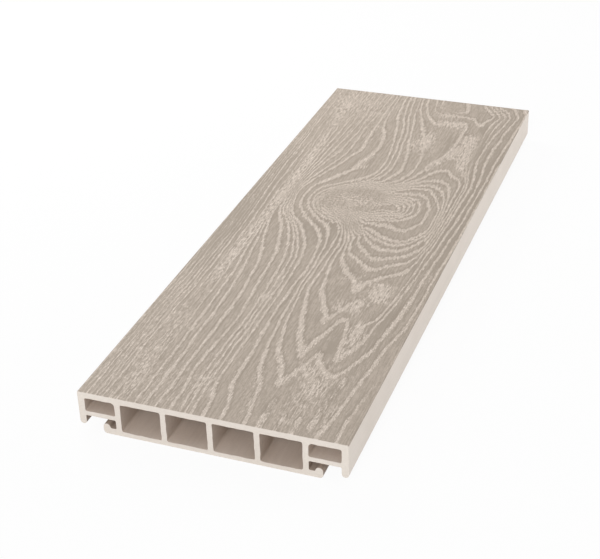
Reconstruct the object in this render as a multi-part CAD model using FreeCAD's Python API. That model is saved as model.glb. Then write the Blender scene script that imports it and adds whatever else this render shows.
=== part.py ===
import FreeCAD, Part
import math
import os

# A short length of hollow deck board: one extrusion, cut square at both ends.
# X runs across the board, Y along it and Z up. The board lies on its base, with its
# grained deck face up, and the origin is on the floor under the middle of the board.

# Overall size, in millimetres
board_width = 150.0  # over the two skirts
board_height = 24.0  # from the base to the deck face
board_length = 424.0

# Core: a row of equal chambers between upright webs
chamber_count = 4
web_thickness = 3.1
deck_skin = 3.7  # plastic over every chamber
base_skin = 2.8  # plastic under the core's chambers
chamber_fillet = 1.0

# Wings: a shallow chamber at each side, over the groove for the fixing clip
side_chamber_width = 17.45
ledge_thickness = 2.7  # floor of the side chamber and roof of the groove
root_fillet = 2.0  # where the side chamber's roof meets the core

# Skirts: the outer walls, which hang past the ledges
skirt_thickness = 3.8
skirt_clearance = 3.5  # from the floor to the skirt's rounded tip
arris_round = 0.8  # along the deck face's two edges

# Hooks: the base runs out on both sides and turns up into a lip that holds the clip
flange_thickness = 3.8
flange_round = 2.0
pocket_width = 3.25  # between the core and the foot of the lip
lip_foot_thickness = 4.4
lip_tip_thickness = 3.4
lip_height = 2.5  # above the floor of the pocket
clip_slot = 3.1  # between the lip's tip and the ledge
groove_fillet = 0.8

# Heights that follow
lip_top = flange_thickness + lip_height
ledge_bottom = lip_top + clip_slot
ledge_top = ledge_bottom + ledge_thickness
chamber_top = board_height - deck_skin

# Distances from the middle of the board that follow
skirt_outside = board_width / 2
skirt_inside = skirt_outside - skirt_thickness
core_side = skirt_inside - side_chamber_width
lip_foot = core_side + pocket_width
lip_outside = lip_foot + lip_foot_thickness
lip_tip = lip_outside - lip_tip_thickness
chamber_width = (2 * core_side - (chamber_count + 1) * web_thickness) / chamber_count

# Rounds that fill the whole tip of the skirt and of the lip
skirt_tip_round = skirt_thickness / 2
lip_slope = math.atan2(lip_height, lip_tip - lip_foot)
lip_tip_round = lip_tip_thickness / (1 + math.tan(lip_slope / 2))


def rounded_outline(corners):
    """Closed wire through corners given as (x, z, radius), each rounded by a tangent arc."""
    points = [FreeCAD.Vector(x, 0, z) for x, z, radius in corners]
    arcs = []
    for index, corner in enumerate(points):
        to_previous = (points[index - 1] - corner).normalize()
        to_next = (points[(index + 1) % len(points)] - corner).normalize()
        radius = corners[index][2]
        half_angle = to_previous.getAngle(to_next) / 2
        setback = radius / math.tan(half_angle)
        middle = (to_previous + to_next).normalize() * (radius / math.sin(half_angle) - radius)
        arcs.append((corner + to_previous * setback, corner + middle, corner + to_next * setback))
    edges = []
    for index, (start, middle, end) in enumerate(arcs):
        edges.append(Part.Arc(start, middle, end).toShape())
        next_start = arcs[(index + 1) % len(arcs)][0]
        if not end.isEqual(next_start, 1e-6):
            edges.append(Part.LineSegment(end, next_start).toShape())
    return Part.Wire(edges)


def mirrored(corners):
    """The same corners on the other side of the board."""
    return [(-x, z, radius) for x, z, radius in reversed(corners)]


def chamber_corners(left, right, bottom, top, roof_fillet=chamber_fillet):
    """Corners of one chamber. Its roof corner on the left may have its own fillet."""
    return [
        (left, bottom, chamber_fillet),
        (right, bottom, chamber_fillet),
        (right, top, chamber_fillet),
        (left, top, roof_fillet),
    ]


def board_outline():
    """The outside of the section, from the right-hand flange up to the deck face."""
    right_half = [
        (lip_outside, 0, flange_round),
        (lip_outside, lip_top, lip_tip_round),
        (lip_tip, lip_top, lip_tip_round),
        (lip_foot, flange_thickness, groove_fillet),
        (core_side, flange_thickness, groove_fillet),
        (core_side, ledge_bottom, groove_fillet),
        (skirt_inside, ledge_bottom, groove_fillet),
        (skirt_inside, skirt_clearance, skirt_tip_round),
        (skirt_outside, skirt_clearance, skirt_tip_round),
        (skirt_outside, board_height, arris_round),
    ]
    return rounded_outline(right_half + mirrored(right_half))


def core_chambers():
    """The row of equal chambers, a web apart."""
    chambers = []
    for number in range(chamber_count):
        left = -core_side + web_thickness + number * (chamber_width + web_thickness)
        corners = chamber_corners(left, left + chamber_width, base_skin, chamber_top)
        chambers.append(rounded_outline(corners))
    return chambers


def side_chambers():
    """The two shallow chambers over the grooves."""
    right = chamber_corners(core_side, skirt_inside, ledge_top, chamber_top, root_fillet)
    return [rounded_outline(right), rounded_outline(mirrored(right))]


def deck_board():
    """The whole section extruded along Y, half of it each side of the origin."""
    outlines = [board_outline()] + core_chambers() + side_chambers()
    section = Part.makeFace(outlines, "Part::FaceMakerBullseye")
    section.translate(FreeCAD.Vector(0, -board_length / 2, 0))
    return section.extrude(FreeCAD.Vector(0, board_length, 0))


os.makedirs("parts", exist_ok=True)
board = deck_board()
board.exportStep("parts/deck_board.step")
print(f"deck_board: {board.Volume / 1000:.1f} cm3 of plastic, chambers {chamber_width:.2f} mm wide")
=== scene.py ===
import math

import bpy
import numpy as np
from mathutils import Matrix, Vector
from mathutils.geometry import tessellate_polygon


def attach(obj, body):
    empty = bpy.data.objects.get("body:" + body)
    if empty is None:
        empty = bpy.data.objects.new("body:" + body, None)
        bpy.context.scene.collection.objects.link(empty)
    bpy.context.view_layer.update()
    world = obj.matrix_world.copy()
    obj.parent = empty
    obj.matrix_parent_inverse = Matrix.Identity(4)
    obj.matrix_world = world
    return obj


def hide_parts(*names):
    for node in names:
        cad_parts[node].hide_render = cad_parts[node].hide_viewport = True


# A short sample of hollow deck board with an embossed wood grain, cut square at both ends.
# X runs across the board, Y along it and Z up. Sizes below are in millimetres unless a note
# says otherwise, and meshes are turned into metres as they are made.

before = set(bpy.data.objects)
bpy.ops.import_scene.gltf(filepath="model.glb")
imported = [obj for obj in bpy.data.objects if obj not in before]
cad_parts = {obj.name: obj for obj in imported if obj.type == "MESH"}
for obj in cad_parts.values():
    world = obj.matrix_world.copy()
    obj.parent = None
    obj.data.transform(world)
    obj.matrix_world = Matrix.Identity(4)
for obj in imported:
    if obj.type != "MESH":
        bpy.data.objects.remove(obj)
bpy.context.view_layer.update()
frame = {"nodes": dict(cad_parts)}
print("frame loaded:", ", ".join(frame["nodes"]))

mm = 0.001

view = {
    "place": (0.2453, -0.7147, 0.4343),  # metres
    "turn": (59.293, 1.533, 20.103),  # degrees about X, Y and Z
    "lens": 81.54,
    "sensor": 36.0,
    "nearest": 0.01,  # metres
}


# The camera stands at its place, turned about X, then Y, then Z, with no shift and no blur.
def standCamera(view):
    data = bpy.data.cameras.new("sampleCamera")
    data.lens = view["lens"]
    data.sensor_width = view["sensor"]
    data.clip_start = view["nearest"]
    camera = bpy.data.objects.new("sampleCamera", data)
    camera.location = view["place"]
    camera.rotation_euler = [math.radians(angle) for angle in view["turn"]]
    bpy.context.collection.objects.link(camera)
    bpy.context.scene.camera = camera


standCamera(view)
print("camera stands")

section = {
    "width": 150.0,
    "height": 24.0,
    "length": 424.0,
    "chamberCount": 4,
    "web": 3.1,
    "deckSkin": 3.7,
    "baseSkin": 2.8,
    "chamberFillet": 1.0,
    "sideChamber": 17.45,
    "ledge": 2.7,
    "rootFillet": 2.0,
    "skirt": 3.8,
    "skirtClearance": 3.5,
    "arris": 0.8,
    "flange": 3.8,
    "flangeRound": 2.0,
    "pocket": 3.25,
    "lipFoot": 4.4,
    "lipTip": 3.4,
    "lipHeight": 2.5,
    "clipSlot": 3.1,
    "grooveFillet": 0.8,
    "arcPoints": 8,  # round each corner
    "fineSide": 2.5,  # how far the fine part goes down each side, in arris radii
    "grooveShadeStart": 0.9,  # its painted shade starts at this share of the skirt and of the flange's round
    "plainRows": 25,  # along the smooth outside
    "sharpAngle": 32.0,  # degrees between two faces, past which their edge is a sharp one
    "edgePoints": 1.6,  # spacing round the edge of a sawn chamber
    "sawWaver": 0.42,  # how unevenly the saw leaves that edge, most to least
    "sawDepth": 1.6,  # how far in the unevenness fades
    "sawCell": 2.7,  # size of that unevenness
    "sawSlant": 5.1,  # rise in which it moves one cell sideways
    "sawShifts": (30, 9.0, 40.0),  # start of its noise, and steps for each chamber and the far end
    "sawSeed": 9,
    "wallRows": [0, 0.7, 1.5, 3, 6, 40],  # along a chamber from each end, then the middle
}

# each material's place on the board
materialNumbers = {"grained_deck": 0, "smooth_cap": 1, "sawn_end": 2, "chamber_wall": 3, "clip_groove_painted_shade": 4}


# Each corner (x, z, radius) becomes an arc that touches both of its sides. With a and b the
# unit directions to the neighbours and h half the angle between them, the arc's centre is
# corner + (a + b) / |a + b| * radius / sin h, and it touches at corner + a * radius / tan h
# and corner + b * radius / tan h. Between those the direction from the centre turns evenly.
def roundCorners(corners, arcPoints):
    corners = np.array(corners, float)
    spot, radius = corners[:, :2], corners[:, 2:]
    a = np.roll(spot, 1, 0) - spot
    b = np.roll(spot, -1, 0) - spot
    a /= np.linalg.norm(a, axis=1, keepdims=True)
    b /= np.linalg.norm(b, axis=1, keepdims=True)
    half = np.arccos(np.clip((a * b).sum(1, keepdims=True), -1, 1)) / 2
    middle = (a + b) / np.linalg.norm(a + b, axis=1, keepdims=True)
    centre = spot + middle * radius / np.sin(half)
    start = (spot + a * radius / np.tan(half) - centre) / radius
    end = (spot + b * radius / np.tan(half) - centre) / radius
    turn = (math.pi - 2 * half)[:, :, None]
    t = np.linspace(0, 1, arcPoints)[None, :, None]
    ray = (np.sin((1 - t) * turn) * start[:, None] + np.sin(t * turn) * end[:, None]) / np.sin(turn)
    return centre[:, None] + radius[:, None] * ray


# A closed run of points with the ones that fall on their neighbour left out.
def withoutDoubles(points, nearest=1e-4):
    gap = np.linalg.norm(points - np.roll(points, 1, 0), axis=1)
    return points[gap > nearest]


# A closed run of points with more of them on its long sides: a side of some length gets
# length / spacing pieces, and piece k of n starts at point + (next point - point) * k / n.
def withSidePoints(points, spacing):
    step = np.roll(points, -1, 0) - points
    pieces = np.maximum(1, np.round(np.linalg.norm(step, axis=1) / spacing)).astype(int)
    side = np.repeat(np.arange(len(points)), pieces)
    first = np.repeat(np.cumsum(pieces) - pieces, pieces)
    t = ((np.arange(pieces.sum()) - first) / pieces[side])[:, None]
    return points[side] + step[side] * t


# The right half's corners from the base's flange up to the deck, and the same turned round
# on the left. The fine part is the deck with its two arrises, the rest is the plain part.
def boardOutline(s):
    skirtOut = s["width"] / 2
    skirtIn = skirtOut - s["skirt"]
    coreSide = skirtIn - s["sideChamber"]
    lipFoot = coreSide + s["pocket"]
    lipOut = lipFoot + s["lipFoot"]
    lipTip = lipOut - s["lipTip"]
    lipTop = s["flange"] + s["lipHeight"]
    ledgeBottom = lipTop + s["clipSlot"]
    lipSlope = math.atan2(s["lipHeight"], lipTip - lipFoot)
    tipRound = s["lipTip"] / (1 + math.tan(lipSlope / 2))
    skirtRound = s["skirt"] / 2
    right = [
        (lipOut, 0, s["flangeRound"]),
        (lipOut, lipTop, tipRound),
        (lipTip, lipTop, tipRound),
        (lipFoot, s["flange"], s["grooveFillet"]),
        (coreSide, s["flange"], s["grooveFillet"]),
        (coreSide, ledgeBottom, s["grooveFillet"]),
        (skirtIn, ledgeBottom, s["grooveFillet"]),
        (skirtIn, s["skirtClearance"], skirtRound),
        (skirtOut, s["skirtClearance"], skirtRound),
        (skirtOut, s["height"], s["arris"]),
    ]
    left = [(-x, z, r) for x, z, r in reversed(right)]
    arcs = roundCorners(right + left, s["arcPoints"])
    rightArris, leftArris = arcs[len(right) - 1], arcs[len(right)]
    # one point on each skirt, where the fine part ends
    below = np.array([[skirtOut, s["height"] - s["fineSide"] * s["arris"]]])
    plain = np.concatenate([
        below * [-1, 1],
        withoutDoubles(arcs[len(right) + 1 :].reshape(-1, 2)),
        withoutDoubles(arcs[: len(right) - 1].reshape(-1, 2)),
        below,
    ])
    return rightArris, leftArris, plain


# The four corners of one chamber, its roof corner on the left or the right with its own radius.
def chamberCorners(left, right, bottom, top, small, roofLeft, roofRight):
    return [(left, bottom, small), (right, bottom, small), (right, top, roofRight), (left, top, roofLeft)]


# One ring of points for each chamber: the row in the core, and one over each clip groove.
def chamberOutlines(s):
    skirtIn = s["width"] / 2 - s["skirt"]
    coreSide = skirtIn - s["sideChamber"]
    top = s["height"] - s["deckSkin"]
    ledgeTop = s["flange"] + s["lipHeight"] + s["clipSlot"] + s["ledge"]
    wide = (2 * coreSide - (s["chamberCount"] + 1) * s["web"]) / s["chamberCount"]
    small, root = s["chamberFillet"], s["rootFillet"]
    rings = []
    for number in range(s["chamberCount"]):
        left = -coreSide + s["web"] + number * (wide + s["web"])
        rings.append(chamberCorners(left, left + wide, s["baseSkin"], top, small, small, small))
    rings.append(chamberCorners(coreSide, skirtIn, ledgeTop, top, small, root, small))
    rings.append(chamberCorners(-skirtIn, -coreSide, ledgeTop, top, small, small, root))
    rounded = [roundCorners(ring, s["arcPoints"]).reshape(-1, 2) for ring in rings]
    return [withSidePoints(ring, s["edgePoints"]) for ring in rounded]


# The grain is a smooth "ring number" over the deck, like the height of a map: every light
# line lies where it is a whole number. The guide lines say where some of those lines run, as
# (ring number, points), x from the board's middle and y from its near end.
grain = {
    "acrossToAlong": 0.6,  # the pattern is stiffer along the board
    "guideStep": 6.0,
    "smoothing": 1e-5,
    "plateUnit": 100.0,  # the thin plate is worked out in this unit, so that its numbers stay small
    "spotsAtOnce": 4000,
    "columnStep": 0.64,
    "closestColumns": 0.05,  # taken as their spacing where an arris turns down
    "fineRow": 0.95,  # where lines run across the board
    "longRow": 1.8,  # where they run along it
    "fineZones": [(142, 318), (372, 414)],
    "lineHeight": 0.16,
    "groundDepth": 0.05,
    "ridgeWidth": (0.6, 0.15, 6.0),  # half of it: first + second * gap, with a gap up to the third
    "lowRidges": (1.2, 2.5, 0.25),  # close lines are lower: (gap - first) / second, third at least
    "fadeAtArris": 1.6,
    "gapLimits": (0.9, 26.0),
    "leastSlope": 1e-6,
    "palenessLimits": (-1, 1.6),
    # how a line's strength comes and goes: least, change, then slow and quick noise, each with its
    # share, its size across and along, its shift for each ring, its start and its seed
    "strengthRange": (0.5, 0.8),
    "slowSwell": {"share": 0.6, "size": (14, 26), "perRing": (13.7, -9.1), "start": 50, "seed": 3},
    "quickSwell": {"share": 0.4, "size": (5, 9), "perRing": (5.3, -3.7), "start": 80, "seed": 4},
    # how bold each ring's line is
    "boldness": [(-7, 0.55), (-6, 0.4), (-5, 0.65), (-4, 0.4), (-3, 0.7), (-2, 0.45), (-1, 0.9),
                 (0, 0.6), (1, 0.55), (2, 0.75), (3, 0.95), (5, 0.9), (6, 0.8), (7, 0.85), (9, 0.8),
                 (10, 1.0), (28, 1.0)],
    # soft patches, each with x, y, reach across, reach along and amount. Quiet ones: lines fade
    "quietPatches": [
        (-10, 250, 17, 15, 1.0), (8, 247, 12, 13, 0.9), (7, 214, 11, 9, 0.6), (4, 262, 14, 8, 0.6),
        (14, 276, 7, 5, 0.5), (-60, 395, 30, 60, 0.35), (-40, 372, 24, 50, 0.3), (62, 190, 7, 45, 0.25),
        (-22, 245, 7, 20, 0.3), (37, 30, 18, 26, 0.5), (5, 405, 26, 26, 0.3), (38, 118, 7, 12, 0.6),
        (43.5, 117, 3.5, 10, 1.0), (12, 20, 9, 24, 0.3), (-50, 70, 9, 80, 0.4), (55.5, 350, 2.4, 34, 0.9),
        (18, 407, 9, 8, 0.6), (73, 55, 5, 65, 0.75), (34, 345, 30, 40, 0.4), (-68, 215, 9, 60, 0.5),
    ],
    # pale ones: dashes fill the ground between the lines
    "palePatches": [
        (-27, 243, 5, 13, 0.7), (-10, 250, 17, 15, 0.75), (6, 247, 13, 12, 0.6), (17, 249, 7, 6, 0.5),
        (43, 40, 10.5, 21, 1.15), (36.5, 58, 3.5, 9, 0.8), (47, 96, 5.5, 15, 1.6), (29, 122, 5, 7, 1.1),
        (38.5, 124, 5, 10, 1.4), (49, 138, 8, 10, 1.5), (44, 149, 9, 6, 1.1), (23, 152, 5, 5, 0.8),
        (32, 158, 4, 7, 0.7), (11, 209, 7, 8, 0.7), (13, 275, 7, 5, 0.6), (51, 318, 4.5, 9, 1.6),
        (48, 334, 5.5, 11, 1.5), (47.5, 357, 5.8, 15, 1.5), (21, 383, 8, 7, 1.2), (32, 383, 7, 8, 1.2),
        (17.5, 350, 6.5, 19, 1.5), (8, 340, 5, 22, 0.7), (37, 371, 4, 8, 0.8), (30, 308, 3, 7, 1.1),
        (34, 319, 3.5, 7, 1.2), (39, 330, 3.5, 7, 1.2), (56, 307, 3, 6, 1.0), (36, 10, 14, 16, 0.5),
        (31, 56, 4, 8, 0.7), (20, 398, 12, 6, 1.1), (11, 40, 3, 9, 0.9), (15, 22, 3, 15, 0.9),
        (15, 63, 3, 8, 0.9), (8, 288, 9, 9, 0.5), (58, 14, 2.6, 20, 1.0), (-14, 118, 6, 12, 1.0),
        (-12, 82, 6, 14, 0.8), (-14, 26, 5, 12, 0.8), (-64, 60, 14, 70, 0.6), (-34, 20, 22, 40, 0.6),
        (-60, 398, 18, 30, 0.8), (-32, 400, 18, 30, 0.7), (-24, 352, 6, 20, 0.6), (45, 415, 5, 5, 0.6),
        (12, 415, 8, 8, 0.7),
        # with an amount below zero the ground is darker instead
        (-67, 215, 9, 75, -1.0), (69, 270, 8, 90, -1.0), (-4, 210, 22, 20, -0.7),
        (-46.4, 240, 1.8, 60, -0.7), (58.6, 235, 1.8, 50, -0.6), (59, 112, 4, 40, -0.6),
        (38, 84, 4, 18, -0.8), (51, 118, 5, 7, -0.8), (51, 380, 3, 10, -0.7), (57, 350, 2, 36, -0.7),
        (37, 366, 3, 14, -0.4), (43, 262, 4, 5, -0.4), (24, 138, 3, 8, -0.5), (33, 350, 3, 18, -0.4),
    ],
    # streaky ones: fine faint lines beside the bold ones
    "streakyPatches": [
        (-64, 60, 14, 110, 1.0), (-68, 250, 12, 110, 0.6), (-62, 400, 26, 80, 1.0), (-30, 400, 26, 60, 0.8),
        (-38, 340, 14, 40, 0.5), (70, 200, 9, 60, 0.6), (20, 350, 18, 30, 0.5), (-10, 60, 12, 80, 0.5),
        (42, 30, 16, 34, 1.0), (-45, 60, 12, 90, 0.6),
    ],
    # mottled ones: round flecks instead of long ones
    "mottledPatches": [
        (-14, 250, 18, 17, 1.0), (2, 245, 16, 16, 1.0), (-4, 270, 14, 7, 0.7), (15, 256, 9, 8, 0.6),
        (12, 214, 8, 8, 0.7), (14, 276, 7, 5, 0.6),
    ],
    # a pale band down the board's left, as x, y and amount, and its reach each side
    "paleBand": [(-51, 0, 0.3), (-51.5, 30, 0.5), (-51.5, 55, 0.4), (-51, 84, 0.6), (-52, 100, 0.2),
                 (-52, 114, 0.3), (-52, 128, 0.8), (-52, 152, 1.25), (-52.5, 200, 1.1), (-52.5, 260, 1.25),
                 (-53, 300, 1.2), (-54.5, 345, 0.8), (-57, 390, 0.3), (-58, 424, 0.1)],
    "paleBandReach": 3.9,
    "guides": [
        # straight grain along the left edge
        (-7, [(-74, 0), (-74, 100), (-73.5, 150), (-74.5, 210)]),
        (-5, [(-69, 0), (-69, 100), (-68.5, 150), (-70, 210), (-73, 280), (-74, 340)]),
        (-3, [(-64, 0), (-64.5, 60), (-64, 150), (-66, 220), (-69, 270), (-70.5, 340), (-73, 424)]),
        (-1, [(-59.5, 0), (-60, 60), (-59.5, 115), (-59.5, 150), (-62, 210), (-65, 260), (-66.5, 320),
              (-69.5, 424)]),
        (0, [(-55, 0), (-56, 60), (-56, 150), (-57.5, 200), (-60.5, 250), (-61.5, 300), (-63.5, 360),
             (-66, 424)]),
        (1, [(-51.5, 0), (-52, 60), (-52, 150), (-54, 200), (-56.5, 245), (-57.5, 300), (-60, 350),
             (-62.5, 424)]),
        (2, [(-46.5, 0), (-47.5, 50), (-48, 110), (-49, 150), (-51.2, 190), (-53, 230), (-54.2, 270),
             (-55, 310), (-57, 350), (-59, 424)]),
        # lines that squeeze together left of the knot and spread out again below it
        (3, [(-41, 0), (-41.6, 40), (-42.7, 95), (-43.8, 130), (-45.3, 155), (-48, 180), (-50.3, 210),
             (-52, 245), (-52.3, 300), (-54, 345), (-55, 424)]),
        (4, [(-35.5, 0), (-36.5, 60), (-37.2, 105), (-39, 130), (-41, 152), (-43.5, 172), (-46.5, 190),
             (-49, 212), (-50.3, 240), (-50.5, 300), (-51, 350), (-51, 424)]),
        (5, [(-29.3, 0), (-30, 45), (-29.5, 85), (-30.5, 120), (-33, 148), (-36.5, 165), (-43, 188),
             (-46, 202), (-48.3, 220), (-49, 245), (-48.5, 300), (-47, 350), (-47, 424)]),
        (6, [(-22, 0), (-22.7, 22), (-24.3, 38), (-23, 70), (-22, 95), (-24, 122), (-26.5, 150),
             (-28, 165), (-31, 182), (-35, 196), (-39, 206), (-43.5, 217), (-46.5, 230), (-47.5, 248),
             (-46.5, 290), (-44, 330), (-43, 365), (-43, 424)]),
        (7, [(-16.6, 0), (-18, 45), (-17.3, 90), (-18, 120), (-20, 152), (-22, 170), (-25, 183),
             (-29, 195), (-34, 206), (-40, 216), (-44, 226), (-46.3, 250), (-45, 285), (-41, 318),
             (-39, 345), (-38, 375), (-38.5, 424)]),
        (8, [(-13.5, 0), (-14.8, 50), (-14.5, 100), (-15, 125), (-15.8, 150), (-17.5, 167), (-22.5, 187),
             (-27, 199), (-31.5, 207), (-37.5, 216), (-42.5, 228), (-45.3, 250), (-44.5, 268), (-43, 284),
             (-41, 299), (-37, 315), (-35, 345), (-34, 390), (-34, 424)]),
        (9, [(-10, 0), (-11.8, 40), (-11.8, 100), (-12, 125), (-13, 150), (-14.5, 168), (-17.5, 180),
             (-21, 190), (-25.5, 200), (-30.5, 208), (-36.5, 217), (-40.5, 227), (-44, 250), (-42, 268),
             (-39, 281), (-35.5, 296), (-32, 310), (-31, 330), (-31, 360), (-29.5, 390), (-30, 424)]),
        # lines that pass close by the knot on its left
        (10, [(-3, 0), (-5, 14), (-8, 32), (-8.5, 60), (-8.5, 100), (-9, 130), (-9.6, 150), (-11.8, 172),
              (-15, 185), (-20.4, 198), (-26, 207.5), (-32, 214), (-38, 224), (-41.5, 237), (-43, 250),
              (-41, 263), (-37.5, 275), (-33.5, 287), (-30, 298), (-26, 314), (-23, 324), (-23.5, 345),
              (-25, 372), (-25.5, 424)]),
        (10.5, [(-8, 172), (-11.3, 187), (-15.5, 198), (-20, 206.5), (-27, 215.5), (-34.5, 226.5),
                (-39, 238), (-40.3, 249), (-38.5, 262), (-34, 274), (-29.5, 285), (-23.5, 302),
                (-19.5, 322)]),
        (11, [(6.5, 0), (5.8, 14), (2, 26), (0, 37), (-1, 60), (-3, 90), (-3.8, 115), (-3.5, 150),
              (-4.5, 172), (-7, 190), (-11, 201), (-21, 212.5), (-28, 220), (-34, 229), (-36.8, 238),
              (-37.7, 248), (-36.5, 258), (-32.5, 268), (-27, 278), (-20.5, 289), (-17, 300),
              (-13.5, 318), (-12.5, 334), (-15, 353), (-20, 368), (-22, 390), (-23, 424)]),
        (12, [(19, 0), (17, 18), (14.8, 34), (9.4, 48), (6, 65), (3, 89), (1.5, 105), (0.3, 130),
              (-0.5, 160), (-2, 185), (-6, 204), (-12, 213.5), (-20, 220), (-28, 229), (-32, 238),
              (-33, 248), (-31.5, 256), (-27, 264), (-17, 273), (-9, 281), (-3, 291), (-1, 305),
              (-2, 325), (-6.5, 350), (-9.5, 366), (-14, 385), (-16.5, 403), (-18, 424)]),
        # short lines and the ground between them under the double points
        (12.03, [(27, 0), (27, 12), (27.4, 24)]),
        (12.01, [(36.3, 0), (37, 12)]),
        (12.01, [(44.3, 0), (44.6, 12)]),
        (12.045, [(52, 8), (53, 24), (54.5, 40), (55, 52)]),
        (12.4, [(23, 0), (22, 14), (20, 28)]),
        (12.4, [(31.5, 0), (32, 14), (32, 28), (31, 38)]),
        (12.4, [(41, 0), (41, 14), (41, 30), (41, 44)]),
        (12.4, [(48, 0), (48.5, 14), (49, 30), (49.5, 44)]),
        (12.4, [(56, 10), (57.5, 24), (59, 40), (60, 54)]),
        (12, [(57.5, 0), (60.5, 20), (63, 44), (66, 66), (67.5, 84), (70, 101), (71.8, 112), (72, 130),
              (72.8, 150), (73.2, 180), (74.2, 215), (74.8, 250), (74.8, 320)]),
        # cathedrals below the knot: the lower ones have two points
        (13, [(-5, 278.5), (-13, 270.5), (-22, 262.5), (-27.5, 255), (-29.7, 247), (-27.5, 235),
              (-22, 227), (-13, 220), (-5, 216), (-0.5, 208), (2, 195), (2, 160), (2, 140), (3.4, 121),
              (6, 97), (9.4, 82), (12, 68), (17, 57), (21.7, 46), (24.2, 38), (27, 47), (30.5, 58),
              (34, 72), (36.5, 65), (41.5, 58), (46, 54), (50, 55), (53, 61), (57.5, 73), (61.3, 86),
              (62.8, 98), (65, 120), (67, 147), (68, 189), (70.6, 233), (71.7, 285), (72, 330),
              (72.8, 365), (74.8, 400)]),
        (14, [(6, 190), (6, 155), (6.7, 132), (10.5, 116), (14.4, 98), (21.5, 77), (25.5, 67.5),
              (27.5, 79), (31.7, 93), (34.5, 106.5), (37, 108.5), (39.5, 105), (42.8, 89), (45, 69),
              (48.5, 77), (51.7, 85), (55, 104), (57.5, 121), (60.3, 145), (62, 165), (63.8, 189),
              (66.5, 233), (68, 262), (68.3, 285), (67.5, 300), (66, 318), (66, 354), (66.8, 374),
              (69, 394), (70, 406), (67.5, 416), (63, 424)]),
        (15, [(9, 185), (9.3, 162), (11.7, 149), (13.3, 138), (19, 123), (25, 110), (27.2, 104.5),
              (29.5, 111), (33, 121), (38, 129), (42, 121), (45.5, 108), (47.5, 101), (50, 107.5),
              (53, 113), (55, 122), (57, 137), (58.5, 153), (60.8, 189), (62.8, 233), (64.2, 262),
              (64.4, 285), (62.3, 306), (60.3, 324), (59.3, 344), (60.5, 368), (63, 386), (64.5, 404),
              (60.5, 415), (55, 421)]),
        (15.5, [(46, 135), (50, 145), (53, 157)]),
        (16, [(10.5, 193), (12.5, 178), (15, 168), (20.6, 159), (28, 152), (32.8, 140.5), (37.5, 152),
              (44, 159), (50.6, 165.5), (55, 171), (57, 181), (58.8, 195), (60.5, 214), (61.2, 235),
              (61.8, 260), (61.8, 282), (60, 297), (57.5, 312), (56.5, 330), (56.8, 352), (57.5, 372),
              (58.8, 388), (61, 404)]),
        (17, [(12.5, 198), (14.5, 184), (18.3, 178), (24, 173), (31.7, 166.5), (35, 166.5), (41.7, 172),
              (50.6, 179), (54.5, 185), (57, 195), (58.8, 210), (59.4, 235), (60.4, 262), (60.4, 282)]),
        (18, [(14.5, 203), (17, 194), (22.8, 186.7), (30.6, 179.4), (34, 180), (42.8, 184.4),
              (50.6, 189.5), (54.5, 197), (57, 208), (57.7, 235), (57.8, 260)]),
        (19, [(16, 206.5), (18.5, 203), (22.8, 198), (30.6, 192), (39.4, 192.8), (44, 193), (49.4, 200),
              (53.3, 208), (55.7, 217), (56.2, 235), (56, 250)]),
        (20, [(17, 209.5), (22, 204.5), (31.7, 200.5), (39.4, 199.5), (44, 202), (50, 210), (53.3, 218),
              (54.7, 228), (54.6, 246)]),
        (21, [(13, 215), (20.6, 212), (28.3, 207), (39.4, 204), (44, 206.5), (48.3, 212.5), (51.8, 220),
              (53, 229), (52.8, 245)]),
        (21.5, [(15, 218.5), (30, 214), (38, 211.5), (43.5, 215.5), (48, 223), (49.8, 235), (49.4, 248)]),
        # the eye of the knot: arcs that open to the left
        (22, [(14.5, 221), (28, 220.6), (34, 218.5), (39.5, 218), (43.5, 224), (46.8, 231), (47, 240),
              (45.8, 251), (44, 257), (41.7, 263), (37, 268), (25, 267), (16, 265)]),
        (23, [(10, 226), (18, 227), (25, 228.5), (32.8, 231), (39.4, 238), (41, 244.5), (39.4, 254.4),
              (35, 261), (30, 262.5), (18, 262)]),
        (24, [(20, 230), (24.4, 231), (28.3, 233), (33.3, 236.7), (36.8, 244.4), (36.3, 250.5), (34, 255),
              (29.4, 259), (20, 259)]),
        (25, [(22, 234.5), (27, 235.6), (30.8, 238), (33.5, 244), (33.3, 249), (31.5, 254), (27, 256),
              (20, 256)]),
        (26, [(23, 238), (28.3, 239), (31, 243), (30.8, 247), (28, 252), (24, 253.5)]),
        (27, [(22, 241), (27, 241.5), (28.3, 244), (26.5, 248), (22.8, 251.5)]),
        (27.6, [(10, 240), (10, 252)]),
        (22, [(-6, 238), (-8, 246), (-7, 256)]),
        (16, [(-20, 236), (-22.5, 247), (-20, 258)]),
        # the fan and the arches above the knot
        (14, [(-0.5, 280), (2, 283.5), (4.5, 290), (6.5, 301), (6, 314), (5, 328), (2.5, 341), (0, 358),
              (-4, 376), (-9, 400), (-12, 424)]),
        (15, [(5, 279), (8.5, 284), (11, 291), (13, 300), (12, 312), (10.5, 328), (6, 344), (3.3, 357),
              (0, 377), (-3.5, 394), (-7.5, 424)]),
        (16, [(12, 280), (15.5, 284.5), (18, 291), (20.5, 300), (21.3, 312), (20.5, 326), (18, 339),
              (15, 352), (10, 366), (7, 375), (1.5, 391), (-3, 408), (-5, 424)]),
        (16.5, [(29, 342), (31, 356), (31, 368)]),
        (16.3, [(22, 340), (24, 352), (24, 364)]),
        (17, [(18, 281), (22, 289), (27, 303), (29.5, 315), (35, 328), (37.5, 345), (38, 364),
              (38.5, 378), (36, 386), (28, 385.5), (21, 382), (15.5, 380.5), (10, 388), (5, 398),
              (1, 410), (-1, 424)]),
        (17, [(60.4, 282), (58.3, 299), (55.5, 311), (54, 330), (53.7, 355), (54.2, 382), (56, 394),
              (58, 404), (54, 412), (47, 421)]),
        (17.5, [(40, 316), (45, 313), (51, 306.5), (56, 299)]),
        (17.12, [(45, 333), (47, 340), (47, 355), (49, 368)]),
        (17.5, [(42, 385), (49, 380), (52.5, 388)]),
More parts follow.
